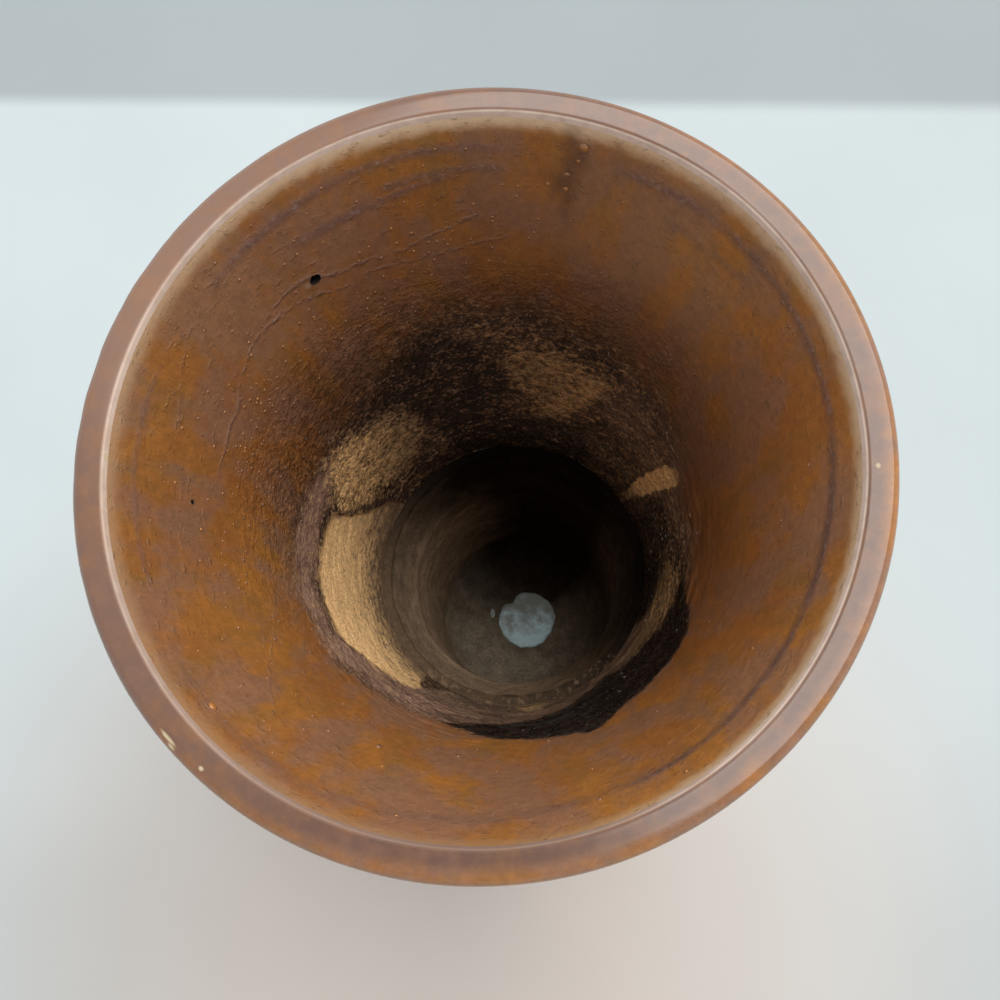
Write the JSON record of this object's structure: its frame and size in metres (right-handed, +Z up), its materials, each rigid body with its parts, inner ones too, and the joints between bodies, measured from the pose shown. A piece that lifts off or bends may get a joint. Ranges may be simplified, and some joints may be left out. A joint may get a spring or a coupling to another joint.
{
  "type": "wooden vase",
  "caption": "Turned wooden vase: a flared, funnel-mouthed section glued by spigot and socket to a bored lower section with a plugged floor.",
  "frame": {"origin": "centre of the foot, on the surface that the vase stands on", "axes": "+Z up along the turning axis from foot to mouth; +X to the right in the picture; +Y away from the viewer"},
  "size_m": [0.15, 0.15, 0.268],
  "materials": {
    "lacquered_wood": "glossy orange-brown lacquer",
    "stained_wood": "lacquered outside, rough dull stain in the bore",
    "dowel_wood": "bare, sanded",
    "filler": "matt wood filler, blue-grey"
  },
  "bodies": {
    "root": {"mouth_section": "lacquered_wood", "body_section": "stained_wood", "centre_dowel": "dowel_wood", "filler_dab": "filler"}
  },
  "joints": []
}
